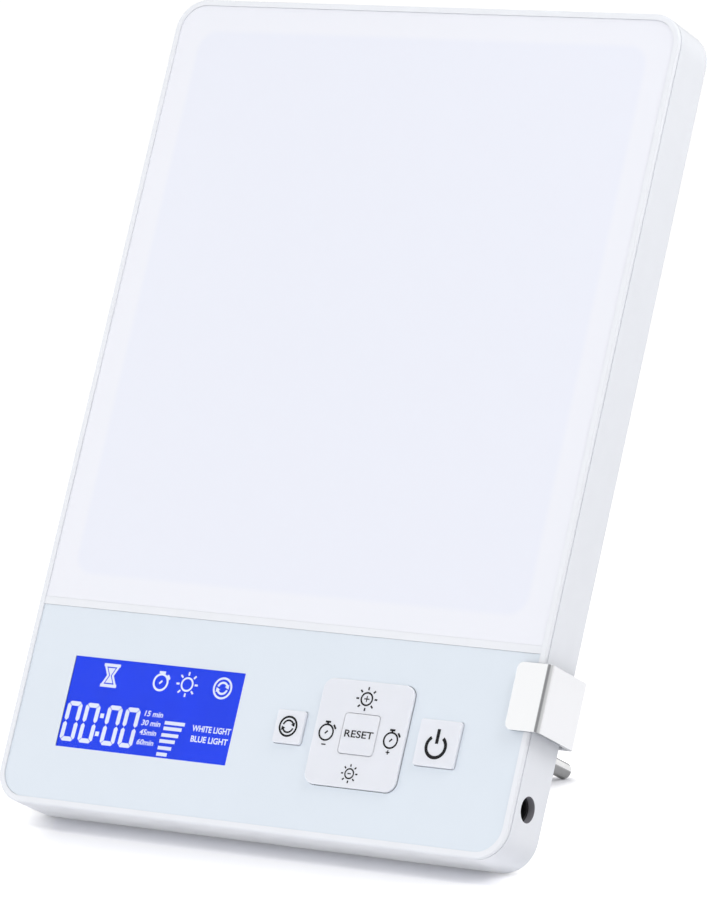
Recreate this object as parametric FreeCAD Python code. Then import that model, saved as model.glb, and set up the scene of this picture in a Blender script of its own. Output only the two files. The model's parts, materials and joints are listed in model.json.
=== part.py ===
import FreeCAD, Part
import math
import os

# A light therapy lamp: a slim edge-lit panel with a control strip along its lower side,
# propped on a desk by a slide-on bracket and a push-in leg.
#
# Everything is modelled in the panel's own frame: X across the panel from its centre line,
# Y up the panel from its lower side, Z towards the user from the front face of the rim.
# The last section leans the lamp back and stands it on the desk. Lengths are in millimetres.

V = FreeCAD.Vector

# ---------------------------------------------------------------- housing
panel_width = 168.0
panel_height = 240.0
panel_depth = 17.2
panel_corner_radius = 9.4
back_edge_radius = 1.0
shell_wall = 2.0
shell_floor = 2.0
shell_lip = 1.0
rim_width = 1.9
rim_height = 0.85
rim_edge_radius = 0.7
seam_gap = 0.5
seam_depth = 0.4
skirt_clearance = 0.1
deck_underside = 3.5
rebate_gap = 0.1

# ---------------------------------------------------------------- front face
edge_clearance = 0.05
diffuser_recess = 0.3
diffuser_thickness = 2.0
film_top = 57.4
film_recess = 0.4
film_thickness = 0.3
crossbar_width = 2.2
crossbar_recess = 0.2
light_margin = 9.0
light_margin_low = 7.0
light_corner_radius = 4.0

# ---------------------------------------------------------------- light engine
guide_thickness = 3.0
guide_overlap_side = 0.6
guide_overlap_end = 2.4
reflector_thickness = 0.3
tray_thickness = 1.0
tray_gap = 0.2
led_count = 22
led_width = 3.5
led_height = 2.6
led_depth = 0.8
led_gap = 0.2
led_board_thickness = 1.0
led_board_end = 1.6

# ---------------------------------------------------------------- housing screws
screw_inset = 5.2
screw_low_y = 8.6
screw_middle_y = 128.0
screw_top_inset = 11.0
screw_radius = 1.1
screw_head_radius = 2.5
screw_head_height = 1.9
cross_length = 2.6
cross_width = 0.6
cross_depth = 0.8
screw_reach = 6.0
screw_fit = 0.05
frame_boss_radius = 2.8
boss_joint_depth = 12.0
shell_post_radius = 3.8
post_hole_radius = 1.4
counterbore_radius = 2.9
counterbore_depth = 2.8

# ---------------------------------------------------------------- tray posts, vents
tray_post_radius = 3.0
tray_post_columns = 3
tray_post_rows = 3
tray_post_margin = 22.0
vent_count = 9
vent_length = 22.0
vent_width = 1.8
vent_pitch = 5.0
vent_centre_y = 31.0

# ---------------------------------------------------------------- controls
control_row_y = 29.9
key_proud = 1.0
key_clearance = 0.14
key_flange_width = 0.9
key_flange_thickness = 0.7
key_edge_radius = 0.25
gap_left_of_display = 16.85
gap_right_of_display = 13.85
gap_left_of_nav = 3.7
gap_right_of_nav = 3.85
gap_right_of_keys = 20.85
mode_key_width = 9.1
mode_key_height = 9.4
mode_key_corner = 0.7
power_key_width = 13.0
power_key_height = 13.0
power_key_corner = 0.7
nav_width = 29.3
nav_height = 29.9
nav_corner = 3.2
nav_skin = 1.0
nav_block_half = 11.2
nav_block_depth = 2.6
nav_key_radius = 8.9
nav_ring_gap = 0.6
nav_ring_thickness = 1.6
nav_ring_slit = 0.5
nav_ring_edge = 0.7
nav_tab_width = 2.4
nav_tab_thickness = 0.8
reset_key_width = 11.2
reset_key_height = 11.3
reset_key_corner = 1.0
reset_key_extra = 0.2
reset_flange_gap = 0.4

# ---------------------------------------------------------------- display
display_y = 30.4
display_width = 57.5
display_height = 26.3
display_border = 2.5
display_glass_thickness = 1.8
display_pocket_clearance = 0.2
backlight_thickness = 3.0
backlight_inset = 0.2
display_contact_ledge = 3.4
holder_wall = 1.3
holder_clearance = 0.1
holder_floor = 1.0
holder_foot = 4.0
display_pin_count = 18
display_pin_radius = 0.25
display_pin_inset = 1.0

# ---------------------------------------------------------------- control board
board_beyond_display = 4.85
board_beyond_power_key = 0.85
board_low = 7.0
board_high = 53.5
board_corner = 1.5
board_depth = 8.2
board_thickness = 1.6
board_boss_radius = 2.4
board_screw_inset = 3.4
board_screw_radius = 0.9
board_screw_length = 5.0
board_screw_head_radius = 1.9
board_screw_head_height = 1.2
board_hole_radius = 1.1
board_post_clearance = 0.4
switch_size = 6.0
switch_cover_thickness = 0.2
switch_bore_radius = 1.9
switch_bore_depth = 1.9
switch_dome_radius = 1.6
switch_dome_thickness = 0.15
actuator_radius = 1.65
actuator_stand = 0.5
key_travel = 0.35
dome_clearance = 0.05
chip_thickness = 1.4
chip_from_end = 56.0
chip_y = 30.0
chip_size = 10.0
driver_from_end = 36.0
driver_width = 5.0
driver_height = 4.0
driver_pitch = 16.0
inductor_from_end = 20.0
inductor_y = 33.0
inductor_size = 9.0
inductor_height = 4.4
inductor_corner = 2.0
capacitor_radius = 3.15
capacitor_height = 4.8
capacitor_pitch = 34.0
buzzer_from_end = 86.0
buzzer_y = 30.0
buzzer_radius = 4.5
buzzer_height = 4.2
buzzer_hole_radius = 0.8
connector_width = 5.0
connector_length = 6.0
connector_height = 3.2
lead_radius = 0.6
lead_pitch = 1.8
lead_bend = 2.0
lead_tight_bend = 1.0
lead_clearance = 0.1
lead_pocket = 1.2
led_lead_spacing = 14.0
led_lead_from_post = 9.6
led_lead_depth = 11.2
led_notch_width = 5.0

# ---------------------------------------------------------------- power inlet
inlet_y = 16.3
inlet_depth = 7.5
inlet_hole_radius = 3.6
jack_length = 11.0
jack_width = 9.0
jack_height = 7.6
jack_bore_radius = 2.85
jack_bore_depth = 9.0
jack_pin_radius = 1.0
jack_pin_length = 8.0
jack_pin_root = 1.5
jack_pin_root_radius = 1.4
jack_lead_depth = 10.8
saddle_thickness = 1.5
saddle_margin = 1.5
saddle_clearance = 0.1

# ---------------------------------------------------------------- stand
sheet_thickness = 1.2
bracket_low = 35.7
bracket_height = 18.8
lip_reach = 7.15
lip_corner_radius = 1.9
bend_radius = 1.55
side_gap = 2.2
lip_pad_thickness = 0.25
back_pad_thickness = 0.55
slide_clearance = 0.05
pad_inset = 1.2
leg_from_side = 68.2
leg_height = 53.4
leg_radius = 2.5
leg_chamfer = 0.5
lean_angle = 23.22
socket_radius = 5.5
socket_length = 13.0
socket_flange_radius = 10.5
socket_flange_thickness = 3.0
socket_bore_depth = 13.0
socket_fit = 0.05
socket_edge = 0.6
socket_screw_count = 3
socket_screw_circle = 7.8
socket_screw_radius = 1.2
socket_screw_head_radius = 2.1
socket_screw_head_height = 0.9
socket_screw_grip = 2.4
ring_groove_from_end = 5.0
ring_section = 0.8
ring_squash = 0.03

# ---------------------------------------------------------------- levels worked out from the sizes
# Depths run back from the front face of the rim, so they are negative Z values.
half_width = panel_width / 2
back_z = -panel_depth
floor_z = back_z + shell_floor
seam_z = -(rim_height + seam_gap)
deck_z = -deck_underside
film_z = -film_recess
film_back_z = film_z - film_thickness
diffuser_z = -diffuser_recess
ledge_z = diffuser_z - diffuser_thickness
crossbar_low = film_top + edge_clearance
crossbar_high = crossbar_low + crossbar_width
guide_z = deck_z
reflector_z = guide_z - guide_thickness
tray_z = reflector_z - reflector_thickness
tray_back_z = tray_z - tray_thickness
boss_joint_z = -boss_joint_depth
board_z = -board_depth
board_back_z = board_z - board_thickness
key_top_z = film_z + key_proud
flange_z = deck_z - key_flange_thickness
actuator_top_z = flange_z
switch_top_z = actuator_top_z - actuator_stand
switch_case_z = switch_top_z - switch_cover_thickness
switch_bottom_z = switch_case_z - switch_bore_depth
dome_top_z = switch_bottom_z + switch_dome_thickness
inlet_z = -inlet_depth

# The keys and the display stand in one row. Their widths and the gaps beside the rocker plate are
# fixed, and the three wide gaps share what the panel's width leaves over.
fixed_width = (display_width + mode_key_width + gap_left_of_nav + nav_width + gap_right_of_nav
               + power_key_width)
gap_share = (panel_width - fixed_width) / (gap_left_of_display + gap_right_of_display + gap_right_of_keys)
power_key_x = half_width - gap_share * gap_right_of_keys - power_key_width / 2
nav_x = power_key_x - power_key_width / 2 - gap_right_of_nav - nav_width / 2
mode_key_x = nav_x - nav_width / 2 - gap_left_of_nav - mode_key_width / 2
display_x = gap_share * gap_left_of_display + display_width / 2 - half_width
board_left = display_x - display_width / 2 - board_beyond_display
board_right = power_key_x + power_key_width / 2 + board_beyond_power_key
chip_x = board_right - chip_from_end
driver_x = board_right - driver_from_end
inductor_x = board_right - inductor_from_end
buzzer_x = board_right - buzzer_from_end
leg_x = half_width - leg_from_side

light_x = half_width - light_margin
light_low = crossbar_high + light_margin_low
light_high = panel_height - light_margin
guide_x = light_x + guide_overlap_side
guide_low = light_low - guide_overlap_end
guide_high = light_high + guide_overlap_end
tray_post_reach = guide_x - tray_post_margin
led_lead_top_x = led_lead_from_post - tray_post_reach
led_lead_low_x = led_lead_top_x + led_lead_spacing


# ---------------------------------------------------------------- shape helpers
def rounded_outline(x_low, x_high, y_low, y_high, radius):
    """Closed wire of a rectangle with round corners, at Z = 0."""
    corners = [(x_high, y_high, 0), (x_low, y_high, 90), (x_low, y_low, 180), (x_high, y_low, 270)]
    edges = []
    ends = []
    for x, y, start in corners:
        centre = V(x - radius * (1 if x == x_high else -1), y - radius * (1 if y == y_high else -1), 0)
        arc = Part.makeCircle(radius, centre, V(0, 0, 1), start, start + 90)
        edges.append(arc)
        ends.append((arc.valueAt(arc.FirstParameter), arc.valueAt(arc.LastParameter)))
    sides = []
    for index, edge in enumerate(edges):
        sides.append(edge)
        tail = ends[index][1]
        head = ends[(index + 1) % len(ends)][0]
        if tail.distanceToPoint(head) > 1e-6:
            sides.append(Part.makeLine(tail, head))
    return Part.Wire(sides)


def prism(wire, z_high, z_low):
    """Solid between two levels over a flat wire."""
    face = Part.Face(wire)
    face.translate(V(0, 0, z_low))
    return face.extrude(V(0, 0, z_high - z_low))


def block(x_low, x_high, y_low, y_high, z_high, z_low, radius=0.0):
    """Box between levels, with round corners in plan if a radius is given."""
    if radius > 0:
        return prism(rounded_outline(x_low, x_high, y_low, y_high, radius), z_high, z_low)
    return Part.makeBox(x_high - x_low, y_high - y_low, z_high - z_low, V(x_low, y_low, z_low))


def pad(x, y, width, height, z_high, z_low, radius=0.0):
    """Block centred on a point of the panel."""
    return block(x - width / 2, x + width / 2, y - height / 2, y + height / 2, z_high, z_low, radius)


def panel_slab(inset, z_high, z_low):
    """Slab with the panel's own outline, moved in by an inset."""
    return block(inset - half_width, half_width - inset, inset, panel_height - inset, z_high, z_low,
                 panel_corner_radius - inset)


def post(x, y, radius, z_high, z_low):
    """Round post or hole square to the panel."""
    return Part.makeCylinder(radius, z_high - z_low, V(x, y, z_low))


def rod_x(x_low, x_high, y, z, radius):
    """Round bar or hole across the panel."""
    return Part.makeCylinder(radius, x_high - x_low, V(x_low, y, z), V(1, 0, 0))


def join(pieces):
    """One solid from overlapping pieces."""
    return pieces[0].multiFuse(pieces[1:]).removeSplitter()


def round_edges(shape, radius, wanted):
    """Fillet the edges whose middle point passes a test."""
    edges = []
    for edge in shape.Edges:
        middle = edge.valueAt((edge.FirstParameter + edge.LastParameter) / 2)
        if wanted(middle):
            edges.append(edge)
    return shape.makeFillet(radius, edges)


def at_level(z):
    """Test for an edge that lies at a level."""
    return lambda point: abs(point.z - z) < 1e-4


def tube(points, radius, bend):
    """Round lead along straight runs joined by tangent arcs of one bend radius."""
    edges = []
    start = points[0]
    for before, corner, after in zip(points, points[1:], points[2:]):
        back = (before - corner).normalize()
        ahead = (after - corner).normalize()
        half_turn = back.getAngle(ahead) / 2
        setback = bend / math.tan(half_turn)
        tail = corner + back * setback
        head = corner + ahead * setback
        bisector = (back + ahead).normalize()
        middle = corner + bisector * (bend / math.sin(half_turn) - bend)
        edges.append(Part.makeLine(start, tail))
        edges.append(Part.Arc(tail, middle, head).toShape())
        start = head
    edges.append(Part.makeLine(start, points[-1]))
    path = Part.Wire(edges)
    direction = points[1] - points[0]
    section = Part.Wire(Part.makeCircle(radius, points[0], direction))
    return path.makePipeShell([section], True, False)


# ---------------------------------------------------------------- where repeated things sit
screw_places = [(side * (half_width - screw_inset), y)
                for y in (screw_low_y, screw_middle_y, panel_height - screw_top_inset)
                for side in (-1, 1)]
board_screw_places = [(x, y)
                      for x in (board_left + board_screw_inset, board_right - board_screw_inset)
                      for y in (board_low + board_screw_inset, board_high - board_screw_inset)]
nav_directions = [(0, 1), (0, -1), (-1, 0), (1, 0)]
nav_places = [(nav_x + dx * nav_key_radius, control_row_y + dy * nav_key_radius) for dx, dy in nav_directions]
mode_place = (mode_key_x, control_row_y)
power_place = (power_key_x, control_row_y)
reset_place = (nav_x, control_row_y)
switch_places = [mode_place, power_place, reset_place] + nav_places
led_pitch = 2 * (guide_x - led_board_end) / led_count
led_columns = [(index - (led_count - 1) / 2) * led_pitch for index in range(led_count)]
led_face_low = guide_low - led_gap
led_face_high = guide_high + led_gap
led_back_low = led_face_low - led_depth
led_back_high = led_face_high + led_depth
tray_low = led_back_low - led_board_thickness - tray_thickness
tray_high = led_back_high + led_board_thickness + tray_thickness
strip_top_z = deck_z - tray_gap

nodes = {}


# ---------------------------------------------------------------- housing
def front_frame():
    """White front moulding: rim, shoulder in the seam, skirt, light ledge and web under the controls."""
    rim = panel_slab(0, 0, -rim_height)
    rim = round_edges(rim, rim_edge_radius, at_level(0))
    shoulder = panel_slab(seam_depth, -rim_height / 2, seam_z)
    skirt = panel_slab(shell_lip + skirt_clearance, -rim_height / 2, deck_z)
    frame = join([rim, shoulder, skirt])
    window_low = crossbar_high
    window = block(rim_width - half_width, half_width - rim_width, window_low, panel_height - rim_width,
                   0, ledge_z)
    field_shape = panel_slab(rim_width, 0, ledge_z)
    control_bay = block(rim_width - half_width, half_width - rim_width, rim_width, crossbar_low,
                        0, film_back_z)
    crossbar_top = block(rim_width - half_width, half_width - rim_width, crossbar_low, crossbar_high,
                         0, -crossbar_recess)
    recesses = [field_shape.common(window), field_shape.common(control_bay), field_shape.common(crossbar_top)]
    light_opening = block(-light_x, light_x, light_low, light_high, 0, deck_z, light_corner_radius)
    frame = frame.cut(recesses + [light_opening])
    bosses = [post(x, y, frame_boss_radius, (deck_z + ledge_z) / 2, boss_joint_z) for x, y in screw_places]
    bosses += [post(x, y, board_boss_radius, (deck_z + film_back_z) / 2, board_z)
               for x, y in board_screw_places]
    frame = join([frame] + bosses)
    holes = [post(x, y, screw_radius + screw_fit, boss_joint_z + screw_reach, boss_joint_z)
             for x, y in screw_places]
    holes += [post(x, y, board_screw_radius + screw_fit,
                   board_z + board_screw_length - board_thickness, board_z)
              for x, y in board_screw_places]
    return frame.cut(holes + key_openings(0, deck_z) + [display_pocket()])


def key_openings(z_high, z_low):
    """Cuts between two levels for the two single keys and the rocker plate."""
    gap = 2 * key_clearance
    return [
        pad(*mode_place, mode_key_width + gap, mode_key_height + gap, z_high, z_low,
            mode_key_corner + key_clearance),
        pad(*power_place, power_key_width + gap, power_key_height + gap, z_high, z_low,
            power_key_corner + key_clearance),
        pad(*reset_place, nav_width + gap, nav_height + gap, z_high, z_low, nav_corner + key_clearance),
    ]


def display_pocket():
    """Opening of the web that the display glass drops into."""
    surround = 2 * (display_border + display_pocket_clearance)
    return pad(display_x, display_y, display_width + surround, display_height + surround, 0, deck_z)


def rear_shell():
    """White tub that forms the side walls and the back."""
    outer = panel_slab(0, seam_z, back_z)
    outer = round_edges(outer, back_edge_radius, at_level(back_z))
    cavity = panel_slab(shell_wall, seam_z, floor_z)
    rebate = panel_slab(shell_lip, seam_z, deck_z - rebate_gap)
    shell = outer.cut([cavity, rebate])
    posts = [post(x, y, shell_post_radius, boss_joint_z, floor_z - shell_floor / 2).common(
        panel_slab(shell_wall / 2, seam_z, back_z)) for x, y in screw_places]
    posts += [post(x, y, tray_post_radius, tray_back_z, floor_z - shell_floor / 2)
              for x, y in tray_post_places()]
    shell = join([shell] + posts + saddle_ribs())
    holes = []
    for x, y in screw_places:
        holes.append(post(x, y, post_hole_radius, boss_joint_z, back_z))
        holes.append(post(x, y, counterbore_radius, back_z + counterbore_depth, back_z))
    holes += vents()
    holes.append(rod_x(half_width - 2 * shell_wall, half_width + shell_wall, inlet_y, inlet_z,
                       inlet_hole_radius))
    return shell.cut(holes)


def tray_post_places():
    """Grid of posts that carries the light tray."""
    low = tray_low + tray_post_margin
    high = tray_high - tray_post_margin
    return [(tray_post_reach * (2 * column / (tray_post_columns - 1) - 1),
             low + (high - low) * row / (tray_post_rows - 1))
            for column in range(tray_post_columns) for row in range(tray_post_rows)]


def saddle_ribs():
    """Two ribs that carry the power jack off the back wall."""
    ribs = []
    jack_low = inlet_z - jack_height / 2 - saddle_clearance
    for x in (half_width - shell_wall - saddle_margin, jack_back_x() + saddle_margin + saddle_thickness):
        ribs.append(block(x - saddle_thickness, x, inlet_y - jack_width / 2, inlet_y + jack_width / 2,
                          jack_low, floor_z - shell_floor / 2))
    return ribs


def vents():
    """Row of cooling slots in the back, behind the control board."""
    first = -(vent_count - 1) / 2 * vent_pitch
    return [pad(first + index * vent_pitch, vent_centre_y, vent_width, vent_length, floor_z, back_z,
                vent_width / 2) for index in range(vent_count)]


def housing_screws():
    """Self-tapping screws that hold the two halves together, heads sunk in the back."""
    screws = []
    seat_z = back_z + counterbore_depth
    head_z = seat_z - screw_head_height
    for x, y in screw_places:
        head = post(x, y, screw_head_radius, seat_z, head_z)
        shank = post(x, y, screw_radius, boss_joint_z + screw_reach - screw_fit, head_z)
        cross = [pad(x, y, cross_length, cross_width, head_z + cross_depth, head_z),
                 pad(x, y, cross_width, cross_length, head_z + cross_depth, head_z)]
        screws.append(join([head, shank]).cut(cross))
    return screws


# ---------------------------------------------------------------- light engine
def diffuser():
    """Opal plate that the light comes out of."""
    field = panel_slab(rim_width + edge_clearance, diffuser_z, ledge_z)
    lower_cut = block(-half_width, half_width, 0, crossbar_high + edge_clearance, diffuser_z, ledge_z)
    return field.cut(lower_cut)


def light_guide():
    """Clear edge-lit plate behind the diffuser."""
    return block(-guide_x, guide_x, guide_low, guide_high, guide_z, reflector_z)


def reflector_sheet():
    """White sheet behind the light guide."""
    return block(-guide_x, guide_x, guide_low, guide_high, reflector_z, tray_z)


def light_tray():
    """Folded aluminium tray that carries the light engine and spreads its heat."""
    base = block(-guide_x, guide_x, tray_low, tray_high, tray_z, tray_back_z)
    flanges = [block(-guide_x, guide_x, tray_low, tray_low + tray_thickness, strip_top_z, tray_back_z),
               block(-guide_x, guide_x, tray_high - tray_thickness, tray_high, strip_top_z, tray_back_z)]
    notches = [
        pad(led_lead_low_x, tray_low + tray_thickness / 2, led_notch_width, tray_thickness, strip_top_z,
            tray_z),
        pad(led_lead_top_x, tray_high - tray_thickness / 2, led_notch_width, tray_thickness, strip_top_z,
            tray_z),
    ]
    return join([base] + flanges).cut(notches)


def led_boards():
    """Narrow boards that stand along the two ends of the light guide."""
    ends = guide_x - led_board_end / 2
    return [block(-ends, ends, led_back_low - led_board_thickness, led_back_low, strip_top_z, tray_z),
            block(-ends, ends, led_back_high, led_back_high + led_board_thickness, strip_top_z, tray_z)]


def led_packages():
    """Light-emitting diodes facing the edges of the light guide."""
    middle = (strip_top_z + tray_z) / 2
    packages = []
    for x in led_columns:
        for y in ((led_face_low + led_back_low) / 2, (led_face_high + led_back_high) / 2):
            packages.append(pad(x, y, led_width, led_depth, middle + led_height / 2, middle - led_height / 2))
    return packages


def lead_pair(points, bend):
    """Two leads side by side along one route."""
    pair = []
    for side in (-1, 1):
        offset = V(side * lead_pitch / 2, 0, 0)
        pair.append(tube([point + offset for point in points], lead_radius, bend))
    return pair


def led_leads():
    """Lead pairs from the two light strips, behind the tray, to the control board."""
    strip_z = (strip_top_z + tray_z) / 2
    plug_y = board_high - lead_pocket
    near_y = tray_low - lead_bend - 2 * lead_radius
    far_y = tray_high + lead_clearance + lead_radius
    near = [V(led_lead_low_x, led_back_low - led_board_thickness, strip_z),
            V(led_lead_low_x, near_y, strip_z),
            V(led_lead_low_x, near_y, -led_lead_depth),
            V(led_lead_low_x, plug_y, -led_lead_depth)]
    far = [V(led_lead_top_x, led_back_high + led_board_thickness, strip_z),
           V(led_lead_top_x, far_y, strip_z),
           V(led_lead_top_x, far_y, -led_lead_depth),
           V(led_lead_top_x, plug_y, -led_lead_depth)]
    return lead_pair(near, lead_bend) + lead_pair(far, lead_tight_bend)


# ---------------------------------------------------------------- controls
def control_film():
    """Pale overlay of the control strip, cut out for the keys and the display window."""
    film = panel_slab(rim_width + edge_clearance, film_z, film_back_z)
    upper_cut = block(-half_width, half_width, film_top, panel_height, film_z, film_back_z)
    return film.cut([upper_cut, display_window()] + key_openings(film_z, film_back_z))


def plain_key(place, width, height, corner):
    """Square key cap with a retaining flange behind the web."""
    cap = pad(*place, width, height, key_top_z, deck_z, corner)
    cap = round_edges(cap, key_edge_radius, at_level(key_top_z))
    flange = pad(*place, width + 2 * key_flange_width, height + 2 * key_flange_width, deck_z, flange_z,
                 corner)
    return join([cap, flange])


def nav_plate():
    """Rocker plate of the brightness and timer functions, open in the middle for the reset key."""
    skin = pad(*reset_place, nav_width, nav_height, key_top_z, key_top_z - nav_skin, nav_corner)
    skin = round_edges(skin, key_edge_radius, at_level(key_top_z))
    block_low_z = film_z - nav_block_depth
    core = pad(*reset_place, 2 * nav_block_half, 2 * nav_block_half, key_top_z - nav_skin / 2, block_low_z)
    pushers = [post(x, y, actuator_radius, block_low_z + nav_skin / 2, actuator_top_z) for x, y in nav_places]
    tab_z = nav_ring_middle_z()
    tabs = pad(*reset_place, nav_tab_width, 2 * (nav_block_half + nav_ring_slit),
               tab_z + nav_tab_thickness / 2, tab_z - nav_tab_thickness / 2)
    gap = 2 * key_clearance
    hole = pad(*reset_place, reset_key_width + gap, reset_key_height + gap, key_top_z, block_low_z,
               reset_key_corner + key_clearance)
    return join([skin, core, tabs] + pushers).cut(hole)


def nav_ring_middle_z():
    """Level of the flexure's two tilt axes."""
    return film_z - nav_ring_gap - nav_ring_thickness / 2


def nav_ring():
    """Flexure ring round the rocker plate's core, hung on two tabs across the opening."""
    middle = nav_ring_middle_z()
    high = middle + nav_ring_thickness / 2
    low = middle - nav_ring_thickness / 2
    inner = 2 * (nav_block_half + nav_ring_slit)
    ring = pad(*reset_place, nav_width - 2 * nav_ring_edge, nav_height - 2 * nav_ring_edge, high, low,
               nav_corner - nav_ring_edge)
    ring = ring.cut(pad(*reset_place, inner, inner, high, low))
    reach = nav_width + 2 * key_clearance
    tabs = pad(*reset_place, reach, nav_tab_width, middle + nav_tab_thickness / 2,
               middle - nav_tab_thickness / 2)
    tabs = tabs.cut(pad(*reset_place, inner, inner, high, low))
    return join([ring, tabs])


def reset_key():
    """Centre key that passes through the rocker plate."""
    top_z = key_top_z + reset_key_extra
    flange_top_z = film_z - nav_block_depth - reset_flange_gap
    cap = pad(*reset_place, reset_key_width, reset_key_height, top_z, flange_top_z, reset_key_corner)
    cap = round_edges(cap, key_edge_radius, at_level(top_z))
    flange = pad(*reset_place, reset_key_width + key_flange_width, reset_key_height + key_flange_width,
                 flange_top_z, flange_z, reset_key_corner)
    return join([cap, flange])


def actuator(place):
    """Plunger of one push switch."""
    return post(*place, actuator_radius, actuator_top_z, dome_top_z + key_travel + dome_clearance)


def switch_bodies():
    """Black cases of the push switches on the control board."""
    return [pad(x, y, switch_size, switch_size, switch_case_z, board_z).cut(
        post(x, y, switch_bore_radius, switch_case_z, switch_bottom_z)) for x, y in switch_places]


def switch_covers():
    """Steel cover plates of the push switches."""
    return [pad(x, y, switch_size, switch_size, switch_top_z, switch_case_z).cut(
        post(x, y, switch_bore_radius, switch_top_z, switch_case_z)) for x, y in switch_places]


def switch_domes():
    """Snap domes at the bottom of the push switches, drawn as they lie when pressed."""
    return [post(x, y, switch_dome_radius, dome_top_z, switch_bottom_z) for x, y in switch_places]


# ---------------------------------------------------------------- display
def display_window():
    """Clear window of the control film over the display."""
    return pad(display_x, display_y, display_width, display_height, film_z, film_back_z)


def display_glass():
    """Liquid-crystal cell behind the film."""
    return pad(display_x, display_y, display_width + 2 * display_border, display_height + 2 * display_border,
               film_back_z, film_back_z - display_glass_thickness)


def display_levels():
    """Levels and plan of the backlight: top, underside, lower and upper edge."""
    top_z = film_back_z - display_glass_thickness
    low = display_y - display_height / 2 - display_border + display_contact_ledge
    high = display_y + display_height / 2 + display_border - backlight_inset
    return top_z, top_z - backlight_thickness, low, high


def display_backlight():
    """Blue-lit block behind the display glass."""
    top_z, bottom_z, low, high = display_levels()
    half = display_width / 2 + display_border - backlight_inset
    return block(display_x - half, display_x + half, low, high, top_z, bottom_z)


def display_holder():
    """Frame that holds the backlight off the control board on four feet."""
    bottom_z, low, high = display_levels()[1:]
    half = display_width / 2 + display_border - backlight_inset
    outer_half = half + holder_clearance + holder_wall
    x_low = display_x - outer_half
    x_high = display_x + outer_half
    y_low = low - holder_clearance - holder_wall
    y_high = high + holder_clearance + holder_wall
    case = block(x_low, x_high, y_low, y_high, deck_z, bottom_z - holder_floor)
    pocket = block(display_x - half - holder_clearance, display_x + half + holder_clearance,
                   low - holder_clearance, high + holder_clearance, deck_z, bottom_z)
    feet = [block(x, x + holder_foot, y, y + holder_foot, bottom_z - holder_floor / 2, board_z)
            for x in (x_low, x_high - holder_foot) for y in (y_low, y_high - holder_foot)]
    return join([case.cut(pocket)] + feet)


def display_pins():
    """Row of contact pins from the glass to the control board."""
    y = display_y - display_height / 2 - display_border + display_pin_inset
    top_z = film_back_z - display_glass_thickness
    pitch = display_width / display_pin_count
    first = display_x - pitch * (display_pin_count - 1) / 2
    return [post(first + index * pitch, y, display_pin_radius, top_z, board_z)
            for index in range(display_pin_count)]


# ---------------------------------------------------------------- control board
def control_board():
    """Circuit board behind the control strip, clear of the housing's screw bosses."""
    board = block(board_left, board_right, board_low, board_high, board_z, board_back_z, board_corner)
    holes = [post(x, y, board_hole_radius, board_z, board_back_z) for x, y in board_screw_places]
    holes += [post(x, y, frame_boss_radius + board_post_clearance, board_z, board_back_z)
              for x, y in screw_places]
    return board.cut(holes)


def board_screws():
    """Small screws that hold the board on the front frame's bosses."""
    screws = []
    tip_z = board_z + board_screw_length - board_thickness - screw_fit
    for x, y in board_screw_places:
        head = post(x, y, board_screw_head_radius, board_back_z, board_back_z - board_screw_head_height)
        screws.append(join([head, post(x, y, board_screw_radius, tip_z, board_back_z)]))
    return screws


def controller_chips():
    """Microcontroller and two driver chips on the back of the board."""
    low_z = board_back_z - chip_thickness
    chips = [pad(chip_x, chip_y, chip_size, chip_size, board_back_z, low_z)]
    for side in (-1, 1):
        chips.append(pad(driver_x, chip_y + side * driver_pitch / 2, driver_width, driver_height,
                         board_back_z, low_z))
    return chips


def inductor():
    """Power inductor of the light driver."""
    return pad(inductor_x, inductor_y, inductor_size, inductor_size, board_back_z,
               board_back_z - inductor_height, inductor_corner)


def capacitors():
    """Two smoothing capacitors of the light driver."""
    return [post(driver_x, chip_y + side * capacitor_pitch / 2, capacitor_radius, board_back_z,
                 board_back_z - capacitor_height) for side in (-1, 1)]


def buzzer():
    """Sounder for the timer."""
    low_z = board_back_z - buzzer_height
    body = post(buzzer_x, buzzer_y, buzzer_radius, board_back_z, low_z)
    return body.cut(post(buzzer_x, buzzer_y, buzzer_hole_radius, low_z + buzzer_height / 2, low_z))


def lead_holes(x, y, z, axis):
    """Pair of sockets in a connector, one for each lead of a pair."""
    across = V(0, 1, 0) if axis.x else V(1, 0, 0)
    middle = V(x, y, z)
    holes = []
    for side in (-1, 1):
        start = middle + across * (side * lead_pitch / 2)
        holes.append(Part.makeCylinder(lead_radius + screw_fit, lead_pocket, start, axis))
    return holes


def board_connectors():
    """White connectors of the two light strips and of the power lead."""
    low_z = board_back_z - connector_height
    connectors = []
    for x in (led_lead_low_x, led_lead_top_x):
        body = pad(x, board_high - connector_width / 2, connector_length, connector_width,
                   board_back_z, low_z)
        connectors.append(body.cut(lead_holes(x, board_high - lead_pocket, -led_lead_depth, V(0, 1, 0))))
    body = pad(board_right - connector_width / 2, inlet_y, connector_width, connector_length,
               board_back_z, low_z)
    connectors.append(body.cut(lead_holes(board_right - lead_pocket, inlet_y, -jack_lead_depth, V(1, 0, 0))))
    return connectors


# ---------------------------------------------------------------- power inlet
def jack_back_x():
    """Inner end of the power jack."""
    return half_width - shell_wall - jack_length


def dc_jack():
    """Black socket for the low-voltage plug."""
    face_x = half_width - shell_wall
    back_x = jack_back_x()
    body = block(back_x, face_x, inlet_y - jack_width / 2, inlet_y + jack_width / 2,
                 inlet_z + jack_height / 2, inlet_z - jack_height / 2)
    bore = rod_x(face_x - jack_bore_depth, face_x, inlet_y, inlet_z, jack_bore_radius)
    root = rod_x(face_x - jack_bore_depth - jack_pin_root, face_x, inlet_y, inlet_z, jack_pin_root_radius)
    return body.cut([bore, root])


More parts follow.
